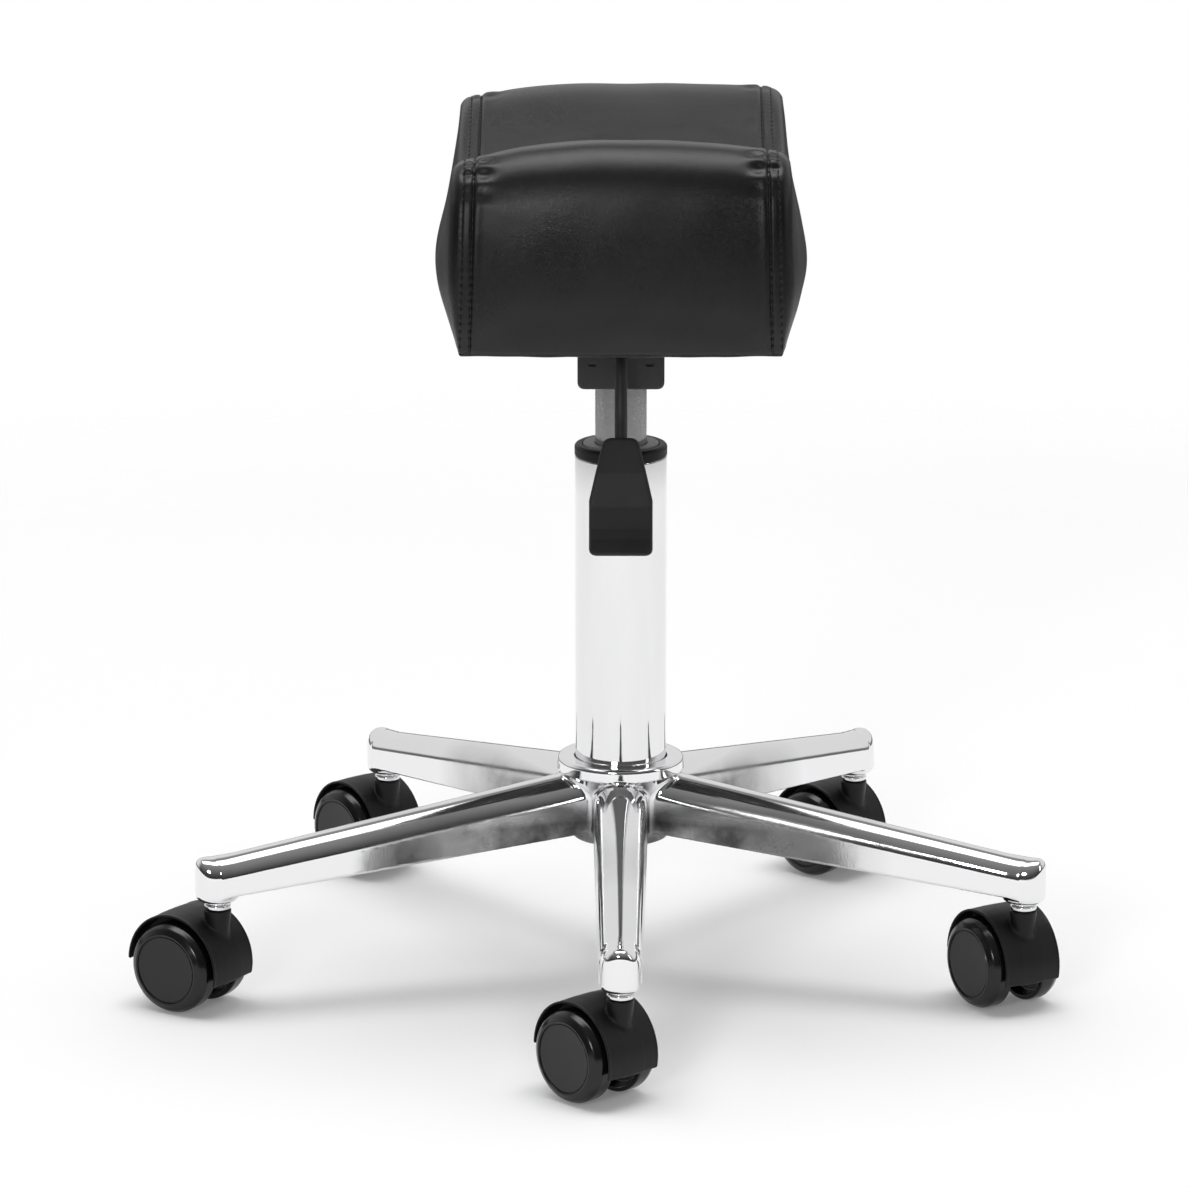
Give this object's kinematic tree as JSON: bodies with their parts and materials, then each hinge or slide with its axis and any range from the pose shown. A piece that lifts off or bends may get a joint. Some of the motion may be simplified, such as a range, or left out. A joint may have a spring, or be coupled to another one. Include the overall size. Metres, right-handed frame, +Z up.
{
  "type": "rolling stylist stool",
  "caption": "Height-adjustable saddle stool on a polished star base with twin-wheel swivel casters, a gas lift and a paddle lever under the seat.",
  "frame": {"origin": "on the floor under the axis of the gas lift", "axes": "+Z up along the gas lift; -Y towards the lever and the front arm; +X to the right seen from the lever side"},
  "size_m": [0.509, 0.4851, 0.4828],
  "materials": {
    "polished_aluminium": "polished",
    "chrome": "polished",
    "ground_steel": "satin",
    "black_steel": "satin",
    "black_plastic": "matte",
    "wheel_plastic": "gloss",
    "grey_plastic": "matte",
    "rubber": "matte",
    "leather": "satin",
    "plywood": "matte"
  },
  "bodies": {
    "base": {"star_base": "polished_aluminium", "lift_outer_tube": "chrome", "guide_bush": "black_plastic", "bush_cover": "grey_plastic", "bearing_lower_race": "ground_steel", "bearing_cage": "grey_plastic", "caster_stem_front": "chrome", "grip_ring_front": "ground_steel", "caster_stem_right_front": "chrome", "grip_ring_right_front": "ground_steel", "caster_stem_right_rear": "chrome", "grip_ring_right_rear": "ground_steel", "caster_stem_left_rear": "chrome", "grip_ring_left_rear": "ground_steel", "caster_stem_left_front": "chrome", "grip_ring_left_front": "ground_steel"},
    "lift_rod": {"piston_rod": "ground_steel", "piston": "black_plastic", "bearing_upper_race": "ground_steel", "lift_bumper": "rubber", "retaining_washer": "ground_steel", "retaining_clip": "ground_steel"},
    "seat": {"gas_cylinder": "ground_steel", "rod_guide": "rubber", "mechanism_housing": "black_steel", "lever_pivot_pin": "ground_steel", "mounting_plate": "black_steel", "seat_board": "plywood", "seat_pad": "leather", "cover_hem": "leather", "seat_screw_1": "ground_steel", "seat_screw_2": "ground_steel", "seat_screw_3": "ground_steel", "seat_screw_4": "ground_steel"},
    "lever": {"lever_rod": "black_steel", "lever_paddle": "black_plastic"},
    "release_button": {"release_button": "ground_steel"},
    "caster_front": {"caster_hood_front": "black_plastic", "caster_axle_front": "ground_steel"},
    "wheel_left_front": {"wheel_left_front": "wheel_plastic"},
    "wheel_right_front": {"wheel_right_front": "wheel_plastic"},
    "caster_right_front": {"caster_hood_right_front": "black_plastic", "caster_axle_right_front": "ground_steel"},
    "wheel_left_right_front": {"wheel_left_right_front": "wheel_plastic"},
    "wheel_right_right_front": {"wheel_right_right_front": "wheel_plastic"},
    "caster_right_rear": {"caster_hood_right_rear": "black_plastic", "caster_axle_right_rear": "ground_steel"},
    "wheel_left_right_rear": {"wheel_left_right_rear": "wheel_plastic"},
    "wheel_right_right_rear": {"wheel_right_right_rear": "wheel_plastic"},
    "caster_left_rear": {"caster_hood_left_rear": "black_plastic", "caster_axle_left_rear": "ground_steel"},
    "wheel_left_left_rear": {"wheel_left_left_rear": "wheel_plastic"},
    "wheel_right_left_rear": {"wheel_right_left_rear": "wheel_plastic"},
    "caster_left_front": {"caster_hood_left_front": "black_plastic", "caster_axle_left_front": "ground_steel"},
    "wheel_left_left_front": {"wheel_left_left_front": "wheel_plastic"},
    "wheel_right_left_front": {"wheel_right_left_front": "wheel_plastic"}
  },
  "joints": [
    {"name": "seat_swivel", "type": "hinge", "parent": "base", "child": "lift_rod", "pos_m": [0, 0, 0.09], "axis": [0, 0, 1], "continuous": true},
    {"name": "height_lift", "type": "slide", "parent": "lift_rod", "child": "seat", "axis": [0, 0, 1], "range_m": [0, 0.12]},
    {"name": "lever_lift", "type": "hinge", "parent": "seat", "child": "lever", "pos_m": [0, -0.018, 0.3666], "axis": [-1, 0, 0], "range_deg": [0, 9], "stiffness_Nm_per_rad": 1.5, "springref_deg": -6.88},
    {"name": "button_press", "type": "slide", "parent": "seat", "child": "release_button", "axis": [0, 0, -1], "range_m": [0, 0.003], "stiffness_N_per_m": 400, "springref_m": -0.001},
    {"name": "caster_swivel_front", "type": "hinge", "parent": "base", "child": "caster_front", "pos_m": [0, -0.23, 0.045], "axis": [0, 0, 1], "continuous": true},
    {"name": "wheel_spin_left_front", "type": "hinge", "parent": "caster_front", "child": "wheel_left_front", "pos_m": [-0.01287, -0.21616, 0.025], "axis": [-0.7322, -0.6811, 0], "continuous": true},
    {"name": "wheel_spin_right_front", "type": "hinge", "parent": "caster_front", "child": "wheel_right_front", "pos_m": [-0.01287, -0.21616, 0.025], "axis": [-0.7322, -0.6811, 0], "continuous": true},
    {"name": "caster_swivel_right_front", "type": "hinge", "parent": "base", "child": "caster_right_front", "pos_m": [0.21874, -0.07107, 0.045], "axis": [0, 0, 1], "continuous": true},
    {"name": "wheel_spin_left_right_front", "type": "hinge", "parent": "caster_right_front", "child": "wheel_left_right_front", "pos_m": [0.20904, -0.05486, 0.025], "axis": [-0.8581, -0.5135, 0], "continuous": true},
    {"name": "wheel_spin_right_right_front", "type": "hinge", "parent": "caster_right_front", "child": "wheel_right_right_front", "pos_m": [0.20904, -0.05486, 0.025], "axis": [-0.8581, -0.5135, 0], "continuous": true},
    {"name": "caster_swivel_right_rear", "type": "hinge", "parent": "base", "child": "caster_right_rear", "pos_m": [0.13519, 0.18607, 0.045], "axis": [0, 0, 1], "continuous": true},
    {"name": "wheel_spin_left_right_rear", "type": "hinge", "parent": "caster_right_rear", "child": "wheel_left_right_rear", "pos_m": [0.12125, 0.19884, 0.025], "axis": [-0.6755, -0.7374, 0], "continuous": true},
    {"name": "wheel_spin_right_right_rear", "type": "hinge", "parent": "caster_right_rear", "child": "wheel_right_right_rear", "pos_m": [0.12125, 0.19884, 0.025], "axis": [-0.6755, -0.7374, 0], "continuous": true},
    {"name": "caster_swivel_left_rear", "type": "hinge", "parent": "base", "child": "caster_left_rear", "pos_m": [-0.13519, 0.18607, 0.045], "axis": [0, 0, 1], "continuous": true},
    {"name": "wheel_spin_left_left_rear", "type": "hinge", "parent": "caster_left_rear", "child": "wheel_left_left_rear", "pos_m": [-0.1475, 0.20042, 0.025], "axis": [-0.7589, -0.6512, 0], "continuous": true},
    {"name": "wheel_spin_right_left_rear", "type": "hinge", "parent": "caster_left_rear", "child": "wheel_right_left_rear", "pos_m": [-0.1475, 0.20042, 0.025], "axis": [-0.7589, -0.6512, 0], "continuous": true},
    {"name": "caster_swivel_left_front", "type": "hinge", "parent": "base", "child": "caster_left_front", "pos_m": [-0.21874, -0.07107, 0.045], "axis": [0, 0, 1], "continuous": true},
    {"name": "wheel_spin_left_left_front", "type": "hinge", "parent": "caster_left_front", "child": "wheel_left_left_front", "pos_m": [-0.23454, -0.06069, 0.025], "axis": [-0.5494, -0.8356, 0], "continuous": true},
    {"name": "wheel_spin_right_left_front", "type": "hinge", "parent": "caster_left_front", "child": "wheel_right_left_front", "pos_m": [-0.23454, -0.06069, 0.025], "axis": [-0.5494, -0.8356, 0], "continuous": true}
  ],
  "couplings": [
    {"joint": "button_press", "follows": "lever_lift", "m_per_rad": 0.018}
  ]
}
